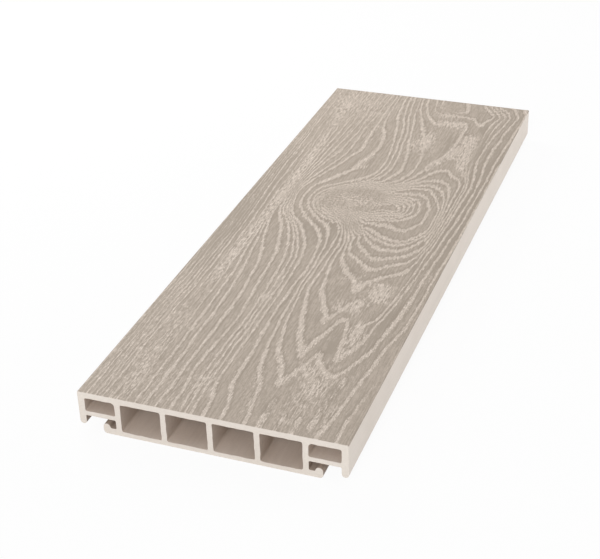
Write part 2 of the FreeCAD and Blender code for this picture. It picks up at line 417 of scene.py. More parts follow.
        (18, [(23, 284), (28, 290), (32, 298), (36, 304.5), (40, 308), (43.5, 307.5), (49, 301),
              (53, 298), (55.3, 292), (57, 280), (57.8, 262)]),
        (19, [(22, 279.5), (27, 284.5), (34, 289.5), (42.8, 292), (48.3, 287.8), (51.7, 280), (54.2, 270),
              (55.7, 256)]),
        (20, [(21, 275.5), (29, 280.5), (36, 283), (42.8, 281.7), (48.3, 275.6), (52.3, 266),
              (54.2, 254)]),
        (21, [(20, 272), (28.3, 275.6), (39.4, 277), (42.8, 273), (47, 266), (50.5, 258), (52.4, 250)]),
        # the double loop at the far right
        (18, [(6, 424), (7.5, 412), (10, 403), (15, 399.5), (22, 398.5), (30, 398.5), (36, 397.5),
              (41, 395), (46, 388), (50, 394.5), (53, 402), (51, 409), (46, 416), (42, 424)]),
        (19, [(11, 424), (11.5, 413), (15, 407), (20, 405), (26, 404.5), (31, 406), (32.5, 411),
              (30.5, 418), (29, 424)]),
        (18.5, [(41, 404), (45, 402), (46, 408), (41, 412)]),
    ],
}


# A smooth line through a guide's points, cut about every step. Between two points it is the
# cubic whose slope at each of them is half the step from one of its neighbours to the other.
def throughPoints(points, step):
    p = np.array(points, float)
    p = np.vstack([2 * p[0] - p[1], p, 2 * p[-1] - p[-2]])
    a, b, c, d = p[:-3], p[1:-2], p[2:-1], p[3:]
    pieces = np.maximum(1, np.round(np.linalg.norm(c - b, axis=1) / step)).astype(int)
    span = np.repeat(np.arange(len(b)), pieces)
    first = np.repeat(np.cumsum(pieces) - pieces, pieces)
    t = ((np.arange(pieces.sum()) - first) / pieces[span])[:, None]
    a, b, c, d = a[span], b[span], c[span], d[span]
    bend = (2 * a - 5 * b + 4 * c - d) * t**2 + (3 * b - a - 3 * c + d) * t**3
    curve = 0.5 * (2 * b + (c - a) * t + bend)
    return np.vstack([curve, p[-2]])


# The ring number anywhere is a thin plate through the guides: the sum over their points of
# weight * r^2 * log r, plus a tilted plane, with r the distance to the point. The weights
# make it meet each guide's own number, but for a little smoothing. A tiny amount added to r^2
# keeps the logarithm finite on the guides.
def ringField(g, tiny=1e-12):
    lines = [throughPoints(points, g["guideStep"]) for ring, points in g["guides"]]
    rings = [np.full(len(line), float(ring)) for (ring, _), line in zip(g["guides"], lines)]
    scale = np.array([1, g["acrossToAlong"]]) / g["plateUnit"]
    known = np.vstack(lines) * scale
    count = len(known)

    # r^2 * log r between every spot and every guide point
    def plate(spots):
        square = (spots[:, :1] - known[:, 0]) ** 2 + (spots[:, 1:] - known[:, 1]) ** 2
        return 0.5 * square * np.log(square + tiny)

    system = np.zeros((count + 3, count + 3))
    system[:count, :count] = plate(known) + g["smoothing"] * np.eye(count)
    system[:count, count] = system[count, :count] = 1
    system[:count, count + 1 :] = known
    system[count + 1 :, :count] = known.T
    weights = np.linalg.solve(system, np.concatenate([*rings, np.zeros(3)]))

    # the plate and the plane at each spot, a few thousand spots at a time
    def ringNumber(x, y):
        spots = np.stack([x.ravel(), y.ravel()], -1) * scale
        groups = np.array_split(spots, max(1, len(spots) // g["spotsAtOnce"]))
        bent = np.concatenate([plate(group) @ weights[:count] for group in groups])
        return (bent + weights[count] + spots @ weights[count + 1 :]).reshape(x.shape)

    return ringNumber


# Smooth noise from 0 to 1: random values on a square lattice, eased between lattice points by
# t^2 * (3 - 2t) both ways. It repeats after size cells.
def latticeNoise(u, v, seed, size=128):
    table = np.random.default_rng(seed).random((size, size))
    i, j = np.floor(u).astype(int), np.floor(v).astype(int)
    s, t = u - i, v - j
    s, t = s * s * (3 - 2 * s), t * t * (3 - 2 * t)
    i0, i1, j0, j1 = i % size, (i + 1) % size, j % size, (j + 1) % size
    low = table[i0, j0] * (1 - s) + table[i1, j0] * s
    high = table[i0, j1] * (1 - s) + table[i1, j1] * s
    return low * (1 - t) + high * t


# Noise that differs from ring to ring: lattice noise at (place + ring * perRing) / size + start.
def ringNoise(form, x, y, ring):
    u = (x + form["perRing"][0] * ring) / form["size"][0] + form["start"]
    v = (y + form["perRing"][1] * ring) / form["size"][1] + form["start"]
    return latticeNoise(u, v, form["seed"])


# The sum over soft patches of amount * exp(-(dx / reach across)^2 - (dy / reach along)^2).
def patches(x, y, listed):
    total = np.zeros(x.shape)
    for px, py, across, along, amount in listed:
        total += amount * np.exp(-(((x - px) / across) ** 2) - ((y - py) / along) ** 2)
    return total


# Rows along the board: their spacing is the fine one inside the fine zones and the long one
# elsewhere, and it changes from one to the other over a few millimetres.
def rowPlaces(g, length, change=6.0, samples=4001):
    y = np.linspace(0, length, samples)
    fine = np.zeros_like(y)
    for start, end in g["fineZones"]:
        inside = np.clip((y - start) / change + 1, 0, 1) * np.clip((end - y) / change + 1, 0, 1)
        fine = np.maximum(fine, inside)
    density = 1 / (g["longRow"] + (g["fineRow"] - g["longRow"]) * fine)
    total = np.concatenate([[0], np.cumsum((density[1:] + density[:-1]) / 2 * np.diff(y))])
    count = int(round(total[-1]))
    return np.interp(np.linspace(0, total[-1], count + 1), total, y)


# What the guides and patches say at each place on the deck. The gap is the distance from one
# line to the next, 1 / |slope of the ring number|, and crossing is |slope along| / |slope|: 0
# for a line along the board and 1 for one across it. A line's strength is its ring's boldness
# times (least + change * noise along its way), less the quiet patches. The pale band is a bell
# across, amount * exp(-(dx / reach)^4), and the pale patches are added to it.
def grainOver(g, x, y, rows, columns):
    ring = ringField(g)(x, y)
    slopeAlong, slopeAcross = np.gradient(ring, rows, np.arange(x.shape[1]))
    slopeAcross = slopeAcross / np.maximum(np.gradient(-columns), g["closestColumns"])
    slope = np.maximum(np.hypot(slopeAcross, slopeAlong), g["leastSlope"])
    gap = np.clip(1 / slope, *g["gapLimits"])
    crossing = np.abs(slopeAlong) / slope

    slow, quick = g["slowSwell"], g["quickSwell"]
    swell = ringNoise(slow, x, y, ring)
    both = slow["share"] * swell + quick["share"] * ringNoise(quick, x, y, ring)
    least, change = g["strengthRange"]
    boldness = np.interp(ring, *np.array(g["boldness"]).T)
    loud = 1 - np.clip(patches(x, y, g["quietPatches"]), 0, 1)
    strength = np.clip(boldness * (least + change * both) * loud, 0, 1)

    bandX, bandY, bandAmount = np.array(g["paleBand"], float).T
    across = (x - np.interp(y, bandY, bandX)) / g["paleBandReach"]
    pale = np.interp(y, bandY, bandAmount) * np.exp(-(across**4))
    pale = np.clip(pale + patches(x, y, g["palePatches"]), *g["palenessLimits"])
    streaky = np.clip(patches(x, y, g["streakyPatches"]), 0, 1)
    mottled = np.clip(patches(x, y, g["mottledPatches"]), 0, 1)
    return {"ringNumber": ring, "ringGap": gap, "crossing": crossing, "streakStrength": strength,
            "paleness": pale, "streakiness": streaky, "mottle": mottled}, swell


# How far the deck lies below its highest level: line height * (1 - ridge) + ground depth *
# (1 - swell), faded out at the arrises by t^2 * (3 - 2t). Each line is a rounded ridge,
# (1 + cos(pi * away / half width)) / 2 * strength, and lower where the lines are close.
def reliefDrop(g, width, x, painted, swell):
    ring, gap = painted["ringNumber"], painted["ringGap"]
    narrow, widening, widestGap = g["ridgeWidth"]
    closest, reach, least = g["lowRidges"]
    away = np.abs(ring - np.round(ring)) * gap / (narrow + widening * np.minimum(gap, widestGap))
    ridge = (0.5 + 0.5 * np.cos(np.pi * np.minimum(away, 1))) * painted["streakStrength"]
    ridge *= np.clip((gap - closest) / reach, least, 1)
    inside = np.clip((width / 2 - np.abs(x)) / g["fadeAtArris"], 0, 1)
    inside = inside * inside * (3 - 2 * inside)
    return (g["lineHeight"] * (1 - ridge) + g["groundDepth"] * (1 - swell)) * inside


# Faces between neighbouring rows and columns of a grid of vertex numbers, seen from the side
# on which the columns run right to left when the rows run away.
def gridFaces(numbers):
    a, b, c, d = numbers[:-1, :-1], numbers[:-1, 1:], numbers[1:, 1:], numbers[1:, :-1]
    return np.stack([a, d, c, b], -1).reshape(-1, 4)


# Triangles between a close row of vertices and a coarse one that it runs beside. Each close
# edge goes to the coarse vertex nearest to it, and each coarse edge to the close vertex
# between its two ends.
def zipRows(close, coarse, placeClose, placeCoarse):
    middle = (placeClose[:-1] + placeClose[1:]) / 2
    nearest = np.abs(middle[:, None] - placeCoarse[None]).argmin(1)
    near = np.stack([close[:-1], close[1:], coarse[nearest]], -1)
    turn = np.searchsorted(nearest, np.arange(1, len(coarse)))
    far = np.stack([close[turn], coarse[1:], coarse[:-1]], -1)
    return np.concatenate([near, far])


# One chamber's wall, its ring of points carried from end to end. Near the sawn ends each
# point is pushed out or in, along the ring's normal, by noise * waver * exp(-depth / reach).
def chamberWall(s, ringPoints, number):
    half = np.array(s["wallRows"], float)
    rows = np.concatenate([half, [s["length"] / 2], s["length"] - half[::-1]])
    x, y = np.broadcast_arrays(ringPoints[:, 0], rows[:, None])
    z = np.broadcast_to(ringPoints[:, 1], x.shape)
    along = np.roll(ringPoints, -1, 0) - np.roll(ringPoints, 1, 0)
    normal = np.stack([along[:, 1], -along[:, 0]], -1) / np.linalg.norm(along, axis=1, keepdims=True)
    depth = np.minimum(y, s["length"] - y)
    start, chamberStep, farStep = s["sawShifts"]
    farEnd = np.where(y > s["length"] / 2, farStep, 0.0)
    u = x / s["sawCell"] + z / s["sawSlant"] + start
    v = z / s["sawCell"] + farEnd + chamberStep * number + start
    noise = latticeNoise(u, v, s["sawSeed"]) - 0.5
    push = noise * s["sawWaver"] * np.exp(-depth / s["sawDepth"])
    return np.stack([x + push * normal[:, 0], y, z + push * normal[:, 1]], -1)


# A sawn end: its outline with the chambers cut out, as triangles that face along sign * Y.
def sawnEnd(loops, spots, sign):
    order = np.concatenate(loops)
    flatLoops = [[(px, pz, 0.0) for px, pz in spots[loop][:, [0, 2]].tolist()] for loop in loops]
    triangles = order[np.array(tessellate_polygon(flatLoops))]
    p, q, r = (spots[triangles[:, k]] for k in range(3))
    facing = np.cross(q - p, r - p)[:, 1] * sign
    triangles[facing < 0] = triangles[facing < 0][:, ::-1]
    return triangles


# A closed mesh from all its spots, faces as (array, material number) and values painted on
# its first spots.
def meshFrom(name, spots, faces, painted):
    mesh = bpy.data.meshes.new(name)
    sizes = np.concatenate([np.full(len(part), part.shape[1]) for part, _ in faces])
    corners = np.concatenate([part.ravel() for part, _ in faces])
    finishes = np.concatenate([np.full(len(part), number) for part, number in faces])
    mesh.vertices.add(len(spots))
    mesh.vertices.foreach_set("co", spots.ravel())
    mesh.loops.add(len(corners))
    mesh.loops.foreach_set("vertex_index", corners.astype(np.int32))
    mesh.polygons.add(len(sizes))
    mesh.polygons.foreach_set("loop_start", (np.cumsum(sizes) - sizes).astype(np.int32))
    mesh.polygons.foreach_set("material_index", finishes.astype(np.int32))
    mesh.update(calc_edges=True)
    mesh.validate()
    for label, values in painted.items():
        whole = np.zeros(len(spots), np.float32)
        whole[: values.size] = values.ravel()
        mesh.attributes.new(label, "FLOAT", "POINT").data.foreach_set("value", whole)
    print(f"{name}: {len(spots)} vertices, {int((sizes - 2).sum())} triangles")
    return mesh


# The whole board as one closed surface: the relief of the deck is z = outline's z - drop over
# a fine grid, and the smooth outside, the chambers and the sawn ends join on to it.
def makeBoard(s, g):
    rightArris, leftArris, plain = boardOutline(s)

    # the deck between its two arrises, right to left
    flat = rightArris[-1, 0]
    columns = int(round(2 * flat / g["columnStep"]))
    deckX = np.linspace(flat, -flat, columns + 1)[1:-1]
    deck = np.stack([deckX, np.full_like(deckX, s["height"])], -1)
    fine = np.concatenate([rightArris, deck, leftArris])
    rows = rowPlaces(g, s["length"])
    x = np.broadcast_to(fine[:, 0], (len(rows), len(fine)))
    y = np.broadcast_to(rows[:, None], x.shape)
    painted, swell = grainOver(g, x, y, rows, fine[:, 0])
    z = fine[:, 1] - reliefDrop(g, s["width"], x, painted, swell)
    fineNumbers = np.arange(x.size).reshape(x.shape)
    spots = [np.stack([x, y, z], -1).reshape(-1, 3)]
    faces = [(gridFaces(fineNumbers), materialNumbers["grained_deck"])]

    # the rest of the outside, in few rows, and the strips that join it to the deck
    plainRows = np.linspace(0, s["length"], s["plainRows"])
    px, py = np.broadcast_arrays(plain[:, 0], plainRows[:, None])
    pz = np.broadcast_to(plain[:, 1], px.shape)
    plainNumbers = x.size + np.arange(px.size).reshape(px.shape)
    spots.append(np.stack([px, py, pz], -1).reshape(-1, 3))
    leftStrip = zipRows(fineNumbers[:, -1], plainNumbers[:, 0], rows, plainRows)
    rightStrip = zipRows(fineNumbers[:, 0], plainNumbers[:, -1], rows, plainRows)[:, ::-1]
    outside = gridFaces(plainNumbers)
    # the clip groove's faces, in the recess under the skirt, take a darker colour that is painted shade
    underSkirt = s["width"] / 2 - s["grooveShadeStart"] * s["skirt"]
    overRound = s["grooveShadeStart"] * s["flangeRound"]
    inGroove = (np.abs(plain[:, 0]) < underSkirt) & (plain[:, 1] > overRound)
    groove = np.tile(inGroove[:-1] & inGroove[1:], len(plainRows) - 1)
    smooth = materialNumbers["smooth_cap"]
    faces += [(outside[~groove], smooth), (outside[groove], materialNumbers["clip_groove_painted_shade"])]
    faces += [(leftStrip, smooth), (rightStrip, smooth)]

    start = x.size + px.size
    chambers = []
    for number, ringPoints in enumerate(chamberOutlines(s)):
        wall = chamberWall(s, ringPoints, number)
        numbers = start + np.arange(wall[..., 0].size).reshape(wall.shape[:2])
        start += numbers.size
        chambers.append(numbers)
        spots.append(wall.reshape(-1, 3))
        around = np.concatenate([numbers, numbers[:, :1]], 1)
        faces.append((gridFaces(around)[:, ::-1], materialNumbers["chamber_wall"]))

    spots = np.concatenate(spots)
    for end, sign in ((0, -1), (-1, 1)):
        around = np.concatenate([fineNumbers[end], plainNumbers[end]])
        loops = [around] + [numbers[end] for numbers in chambers]
        faces.append((sawnEnd(loops, spots, sign), materialNumbers["sawn_end"]))

    mesh = meshFrom("grained_board", (spots - [0, s["length"] / 2, 0]) * mm, faces, painted)
    mesh.shade_smooth()
    mesh.set_sharp_from_angle(angle=math.radians(s["sharpAngle"]))
    board = bpy.data.objects.new("grained_board", mesh)
    bpy.context.collection.objects.link(board)
    return board


board = makeBoard(section, grain)
print("board made")


# Colours are written as seen, 0 to 255, and turned into the linear values that Blender uses:
# c / 12.92 up to 0.04045, and ((c + 0.055) / 1.055) ^ 2.4 above, with c the value / 255.
def colour(red, green, blue):
    c = np.array([red, green, blue]) / 255
    linear = np.where(c <= 0.04045, c / 12.92, ((c + 0.055) / 1.055) ** 2.4)
    return (*linear.tolist(), 1.0)


nodeGrid = {"across": 190, "down": 170, "rows": 5}  # how the nodes stand in the editor


# One node joined to what feeds it: each input is given by name or number, as a value or as
# another node's output.
def addNode(tree, kind, inputs=None, **settings):
    node = tree.nodes.new(kind)
    count = len(tree.nodes)
    node.location = (count * nodeGrid["across"], -(count % nodeGrid["rows"]) * nodeGrid["down"])
    for name, value in settings.items():
        setattr(node, name, value)
    for name, value in (inputs or {}).items():
        feed(tree, node.inputs[name], value)
    return node


# A socket takes another node's output, or a plain value.
def feed(tree, socket, value):
    if isinstance(value, bpy.types.NodeSocket):
        tree.links.new(value, socket)
    else:
        socket.default_value = value


# One step of arithmetic on numbers or outputs.
def calc(tree, operation, *values, clamp=False):
    inputs = dict(enumerate(values))
    return addNode(tree, "ShaderNodeMath", inputs, operation=operation, use_clamp=clamp).outputs[0]


# The product of all the values.
def times(tree, *values):
    product = values[0]
    for value in values[1:]:
        product = calc(tree, "MULTIPLY", product, value)
    return product


# A soft step: from outLow to outHigh while value goes from low to high, by t^2 * (3 - 2t).
def eased(tree, value, low, high, outLow=0.0, outHigh=1.0):
    inputs = {"Value": value, "From Min": low, "From Max": high, "To Min": outLow, "To Max": outHigh}
    return addNode(tree, "ShaderNodeMapRange", inputs, interpolation_type="SMOOTHSTEP").outputs[0]


# Noise from 0 to 1 at place * stretch + shift, with stretch as cells per millimetre each way.
def noiseAt(tree, place, stretch, shift, detail, rough):
    inputs = {0: place, 1: stretch, 2: (shift, shift, shift)}
    moved = addNode(tree, "ShaderNodeVectorMath", inputs, operation="MULTIPLY_ADD").outputs[0]
    inputs = {"Vector": moved, "Scale": 1.0, "Detail": detail, "Roughness": rough}
    return addNode(tree, "ShaderNodeTexNoise", inputs).outputs["Fac"]


# first * (1 - amount) + second * amount, for colours.
def mixColours(tree, amount, first, second):
    node = addNode(tree, "ShaderNodeMix", data_type="RGBA")
    for name, value in (("Factor_Float", amount), ("A_Color", first), ("B_Color", second)):
        feed(tree, next(socket for socket in node.inputs if socket.identifier == name), value)
    return next(socket for socket in node.outputs if socket.identifier == "Result_Color")


# An empty node group. Its inputs and outputs are given as name: kind of socket.
def newGroup(name, inputs, outputs):
    group = bpy.data.node_groups.new(name, "ShaderNodeTree")
    for label, kind in inputs.items():
        group.interface.new_socket(label, in_out="INPUT", socket_type=f"NodeSocket{kind}")
    for label, kind in outputs.items():
        group.interface.new_socket(label, in_out="OUTPUT", socket_type=f"NodeSocket{kind}")
    return group, addNode(group, "NodeGroupInput").outputs, addNode(group, "NodeGroupOutput").inputs


# The grain's small forms. Each noise has its cells per millimetre across, along and up the
# board, a shift that keeps it apart from the others, its detail and its roughness. Each soft
# step has its low and high value, then what it gives there unless that is 0 and 1.
streakForms = {
    "waver": ((0.07, 0.03, 0.0), 3.0, 2.0, 0.55),  # slow bends of a line
    "teeth": ((0.8, 0.09, 0.0), 11.0, 1.0, 0.55),  # steps between dashes, and combs on cross bands
    "dashes": ((1.25, 0.22, 0.0), 7.0, 2.0, 0.6),
    "flecks": ((0.75, 0.55, 0.0), 17.0, 2.0, 0.65),  # round ones, in mottled wood
    "grit": ((1.3, 0.65, 0.0), 23.0, 2.0, 0.7),
    "strands": ((1.0, 1.0, 1.0), 31.0, 2.0, 0.7),  # faint lines between the rings
    "strandCells": (2.2, 0.035),  # their cells per ring, and per millimetre along
    "streaks": ((1.0, 0.05, 0.0), 41.0, 2.0, 0.6),  # long faint ones along the board
    "combAlong": 0.22,  # how much of the comb is left where a line runs along the board
    "steadyGap": 1.0,  # mm, added to the gap so that close lines aren't torn apart
    # a band's width and edge
    "widestBand": 1.0,  # half width, mm
    "bandShare": 0.3,  # or this much of the gap, where that is less
    "strengthToWidth": (0.1, 1.0, 0.6, 1.1),
    "edgeShares": (0.4, 0.6),  # dashes and grit in what moves the edge
    "edgeMove": 4.2,
    "bandFade": (0.5, 1.5, 1.0, 0.0),
    "strengthToBand": (0.0, 0.7),
    "gapToBand": (0.8, 2.2, 0.55, 1.0),  # close lines are fainter
    "brightShares": (0.55, 0.45),  # dashes and grit in how bright a place is
    # faint thin lines
    "strandStep": (0.53, 0.66),
    "strandBreaks": (0.42, 0.58, 0.1, 1.0),
    "streakinessToThin": (0.0, 1.0, 0.2, 1.0),
    # pale places
    "paleShares": (0.52, 0.4, 0.08),  # dashes, teeth and grit
    "paleBar": (0.6, 0.11),  # what lies over first - second * paleness shows
    "paleStep": (-0.04, 0.05),
    "paleToFill": 0.9,
    # painted shade: thin dark edges beside the raised bands, and in the gaps between raised dashes
    "shadedSideStep": (-0.02, 0.02, 0.45, 1.0),  # how much painted shade on one side of a band, then on the other
    "edgeStart": (1.2, 1.6),
    "edgeEnd": (1.8, 2.8, 1.0, 0.0),
    "edgeBreaks": (0.4, 0.56, 0.3, 1.0),
    "strengthToEdge": (0.1, 0.7),
    "gapsStep": (0.46, 0.38),  # painted shade in the gaps between the raised dashes of a pale place
    "paleToGaps": 0.7,
    # the ground
    "driftShares": (0.45, 0.55),  # streaks, and how bright the place is
    "darkPatches": 0.17,
}


# The sum of each value times its share.
def shared(tree, values, shares):
    total = times(tree, values[0], shares[0])
    for value, share in zip(values[1:], shares[1:]):
        total = calc(tree, "ADD", total, times(tree, value, share))
    return total


# Grain lines. The distance to the nearest line in millimetres is |ring - nearest whole ring|
# * gap. Before that the ring number is pushed about by noise over the gap: slow noise bends
# the lines, and long thin noise along the board gives the bands that cross it comb edges. A
# band is (base + share * gap) * (1 + widen * crossing) wide each side, and fades out softly.
# Dashes and grit move its edge in and out, so it breaks up where it is thin.
def grainGroup(forms):
    numbers = ("Ring", "Gap", "Crossing", "Strength", "Paleness", "Streakiness", "Mottle", "Base Width",
               "Share Of Gap", "Widen", "Waver", "Comb")
    inputs = {"Place": "Vector"} | {label: "Float" for label in numbers}
    outputs = {label: "Float" for label in ("Band", "Bright", "Relief Shade", "Drift")}
    tree, given, out = newGroup("grainStreaks", inputs, outputs)
    place, gap, strength, pale = given["Place"], given["Gap"], given["Strength"], given["Paleness"]

    waver = calc(tree, "SUBTRACT", noiseAt(tree, place, *forms["waver"]), 0.5)
    teeth = noiseAt(tree, place, *forms["teeth"])
    reach = times(tree, calc(tree, "ADD", given["Crossing"], forms["combAlong"]), given["Comb"])
    comb = times(tree, calc(tree, "SUBTRACT", teeth, 0.5), reach)
    push = calc(tree, "ADD", times(tree, waver, given["Waver"]), comb)
    push = calc(tree, "DIVIDE", push, calc(tree, "ADD", gap, forms["steadyGap"]))
    ring = calc(tree, "ADD", given["Ring"], push)
    offset = calc(tree, "SUBTRACT", calc(tree, "FRACT", calc(tree, "ADD", ring, 0.5)), 0.5)
    away = times(tree, calc(tree, "ABSOLUTE", offset), gap)

    # dashes along the board, round flecks where the wood is mottled, and fine grit in both
    dashes = noiseAt(tree, place, *forms["dashes"])
    flecks = noiseAt(tree, place, *forms["flecks"])
    grit = noiseAt(tree, place, *forms["grit"])
    kept = calc(tree, "SUBTRACT", 1.0, given["Mottle"])
    dash = calc(tree, "ADD", times(tree, dashes, kept), times(tree, flecks, given["Mottle"]))
    bright = shared(tree, (dash, grit), forms["brightShares"])

    # half the band's width, and how far out of the band a place is, 1 at its edge
    wide = calc(tree, "ADD", given["Base Width"], times(tree, gap, given["Share Of Gap"]))
    widen = calc(tree, "ADD", times(tree, given["Crossing"], given["Widen"]), 1.0)
    wide = times(tree, calc(tree, "MINIMUM", wide, forms["widestBand"]), widen,
                 eased(tree, strength, *forms["strengthToWidth"]))
    wide = calc(tree, "MINIMUM", wide, times(tree, gap, forms["bandShare"]))
    ratio = calc(tree, "DIVIDE", away, wide)
    fine = shared(tree, (dash, grit), forms["edgeShares"])
    move = times(tree, calc(tree, "SUBTRACT", 0.5, fine), forms["edgeMove"])
    ratio = calc(tree, "ADD", ratio, move)
    band = times(tree, eased(tree, ratio, *forms["bandFade"]),
                 eased(tree, strength, *forms["strengthToBand"]), eased(tree, gap, *forms["gapToBand"]))

    # faint thin lines that run with the rings, stronger where the wood is streaky
    perRing, perLength = forms["strandCells"]
    along = times(tree, addNode(tree, "ShaderNodeSeparateXYZ", {0: place}).outputs[1], perLength)
    onRings = addNode(tree, "ShaderNodeCombineXYZ", {0: times(tree, ring, perRing), 1: along}).outputs[0]
    strand = noiseAt(tree, onRings, *forms["strands"])
    thin = times(tree, eased(tree, strand, *forms["strandStep"]),
                 eased(tree, bright, *forms["strandBreaks"]),
                 eased(tree, given["Streakiness"], *forms["streakinessToThin"]))
    streak = noiseAt(tree, place, *forms["streaks"])

    # pale places: the paler, the more of the dashes show
    highest, lower = forms["paleBar"]
    bar = calc(tree, "SUBTRACT", highest, times(tree, pale, lower))
    mixed = shared(tree, (dash, teeth, grit), forms["paleShares"])
    filled = eased(tree, calc(tree, "SUBTRACT", mixed, bar), *forms["paleStep"])
    filled = times(tree, filled, calc(tree, "MULTIPLY", pale, forms["paleToFill"], clamp=True))
    whole = calc(tree, "MAXIMUM", calc(tree, "MAXIMUM", band, thin), filled)

    # painted shadow beside the raised bands: thin dark edges, on one side of a band more than the other,
    # and broken by the grit
    side = eased(tree, offset, *forms["shadedSideStep"])
    reliefShade = times(tree, eased(tree, ratio, *forms["edgeStart"]), eased(tree, ratio, *forms["edgeEnd"]), side,
                 eased(tree, grit, *forms["edgeBreaks"]), eased(tree, strength, *forms["strengthToEdge"]))
    # painted shade in the gaps round the raised dashes of a pale place
    inPale = calc(tree, "MULTIPLY", pale, forms["paleToGaps"], clamp=True)
    shadedGaps = times(tree, eased(tree, bright, *forms["gapsStep"]), inPale)

    # the ground drifts with the long streaks, and is darker where the paleness is below zero
    drift = shared(tree, (streak, bright), forms["driftShares"])
    darker = times(tree, calc(tree, "MINIMUM", pale, 0.0), forms["darkPatches"])
    feed(tree, out["Band"], whole)
    feed(tree, out["Bright"], bright)
    feed(tree, out["Relief Shade"], calc(tree, "MAXIMUM", reliefShade, shadedGaps))
    feed(tree, out["Drift"], calc(tree, "ADD", drift, darker))
    return tree


# The plastics' unevenness, with its noises and soft steps written like the grain's
plasticForms = {
    "patches": ((0.035, 0.035, 0.035), 0.0, 2.0, 0.55),
    "patchStep": (0.35, 0.7),
    "lines": (5.0, 3.0, 0.55),  # shift, detail and roughness: each material has its own cells
    "lineStep": (0.35, 0.65),
    "speckle": ((1.6, 1.6, 1.6), 13.0, 2.0, 0.7),
    "speckleHeight": 0.4,  # beside a line's height of 1
}


# Unevenness of moulded or sawn plastic: a colour that drifts a little darker in broad soft
# patches and in fine lines along one direction, and the height of those lines for bump. The
# amount of the darker colour is patches * Patches + lines * Lines + speckle * Speckle.
def plasticGroup(forms):
    inputs = {"Place": "Vector", "Color": "Color", "Darker": "Color", "Patches": "Float", "Lines": "Float",
              "Speckle": "Float", "Stretch": "Vector"}
    tree, given, out = newGroup("plasticDrift", inputs, {"Color": "Color", "Height": "Float"})
    place = given["Place"]
    broad = eased(tree, noiseAt(tree, place, *forms["patches"]), *forms["patchStep"])
    lines = eased(tree, noiseAt(tree, place, given["Stretch"], *forms["lines"]), *forms["lineStep"])
    speckle = noiseAt(tree, place, *forms["speckle"])
    amount = calc(tree, "ADD", times(tree, broad, given["Patches"]), times(tree, lines, given["Lines"]))
    amount = calc(tree, "ADD", amount, times(tree, speckle, given["Speckle"]), clamp=True)
    feed(tree, out["Color"], mixColours(tree, amount, given["Color"], given["Darker"]))
    feed(tree, out["Height"], calc(tree, "ADD", lines, times(tree, speckle, forms["speckleHeight"])))
    return tree


grainStreaks = grainGroup(streakForms)
plasticDrift = plasticGroup(plasticForms)
print("shader groups made")


# An empty material and the place on the piece in millimetres.
def newMaterial(name):
    material = bpy.data.materials.new(name)
    material.use_nodes = True
    tree = material.node_tree
    tree.nodes.clear()
    metres = addNode(tree, "ShaderNodeTexCoord").outputs["Object"]
    inputs = {0: metres, "Scale": 1 / mm}
    return material, addNode(tree, "ShaderNodeVectorMath", inputs, operation="SCALE").outputs[0]


plasticShine = {"IOR": 1.45, "Specular IOR Level": 0.35}


# The material's surface, with a bump of strength * height in metres.
def finishSurface(tree, color, roughness, height, strength, bumpHeight):
    inputs = {"Height": height, "Strength": strength, "Distance": bumpHeight}
    normal = addNode(tree, "ShaderNodeBump", inputs).outputs[0]
    inputs = {"Base Color": color, "Roughness": roughness, "Normal": normal} | plasticShine
    shader = addNode(tree, "ShaderNodeBsdfPrincipled", inputs)
    addNode(tree, "ShaderNodeOutputMaterial", {"Surface": shader.outputs[0]})


deckFinish = {
    "ground": (187, 174, 161),
    "groundDark": (165, 153, 140),
    # painted shade beside the raised bands and in the gaps between the raised dashes
    "reliefShade": (155, 143, 130),
    "line": (200, 187, 174),
    "fleck": (225, 212, 200),
    "roughness": 0.72,
    "polish": 0.1,  # how much less rough the bands are
    "baseWidth": 0.35,
    "shareOfGap": 0.055,
    "widen": 0.9,
    "waver": 4.0,
    "comb": 7.0,
    "driftStep": (0.4, 0.6),  # from the dark ground to the light one
    "reliefShadeAmount": 0.8,
    "fleckStep": (0.5, 0.62),  # from the line's colour to the fleck's
    "weakStep": (0.48, 0.38),  # from there back to the ground's
    "driftHeight": 1.2,  # beside a band's height of 1
    "edgeDepth": 0.5,
    "bump": 0.5,
    "bumpHeight": 0.00012,  # metres
}

# The smooth plastics. Patches, lines and speckle say how much of the darker colour each puts
# in, and stretch is the lines' noise cells per millimetre along x, y and z
plainFinishes = {
    "smooth_cap": {
        "color": (233, 223, 213), "darker": (212, 200, 188), "patches": 0.2, "lines": 0.2, "speckle": 0.15,
        "stretch": (0.9, 0.012, 0.9), "roughness": 0.5, "bumpHeight": 0.00003,
    },
    "sawn_end": {
        "color": (231, 223, 214), "darker": (208, 196, 184), "patches": 0.12, "lines": 0.22, "speckle": 0.3,
        "stretch": (0.35, 1.0, 2.2), "roughness": 0.7, "bumpHeight": 0.00006,
    },
    "chamber_wall": {
        "color": (219, 205, 193), "darker": (184, 167, 153), "patches": 0.3, "lines": 0.12, "speckle": 0.4,
        "stretch": (0.5, 0.05, 0.5), "roughness": 0.65, "bumpHeight": 0.00008,
    },
    # painted shade: the clip groove's colours are darker for the shade in its recess under the skirt
    "clip_groove_painted_shade": {
        "color": (182, 165, 151), "darker": (158, 141, 127), "patches": 0.3, "lines": 0.3, "speckle": 0.2,
        "stretch": (0.5, 0.05, 0.5), "roughness": 0.7, "bumpHeight": 0.00005,
    },
}
